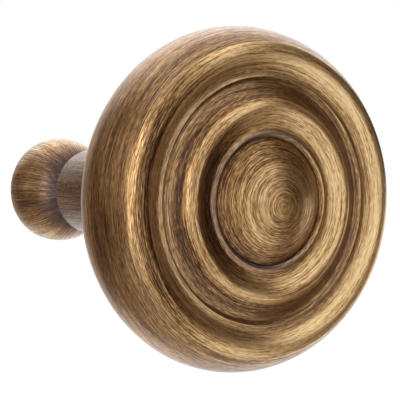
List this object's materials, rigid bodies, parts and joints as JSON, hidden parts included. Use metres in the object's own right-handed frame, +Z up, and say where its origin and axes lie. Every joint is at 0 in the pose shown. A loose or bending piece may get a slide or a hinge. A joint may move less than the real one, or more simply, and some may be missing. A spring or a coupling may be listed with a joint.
{
  "type": "curtain holdback",
  "caption": "Wall-fixed curtain holdback: a thick disc turned with stepped rings and a domed centre, on a round stem with a ball foot.",
  "frame": {"origin": "centre of the flat wall face, at the mouth of the wall screw hole", "axes": "+Y into the wall along the stem's axis, so the disc faces -Y; +Z up when fixed; turned symmetry about Y"},
  "size_m": [0.085, 0.117, 0.085],
  "materials": {
    "antique_brass": "antique brass plating on turned metal, brushed and toned dark, under clear satin lacquer",
    "stud_steel": "plain steel, hidden"
  },
  "bodies": {
    "root": {"face_disc": "antique_brass", "stem": "antique_brass", "joining_stud": "stud_steel"}
  },
  "joints": []
}
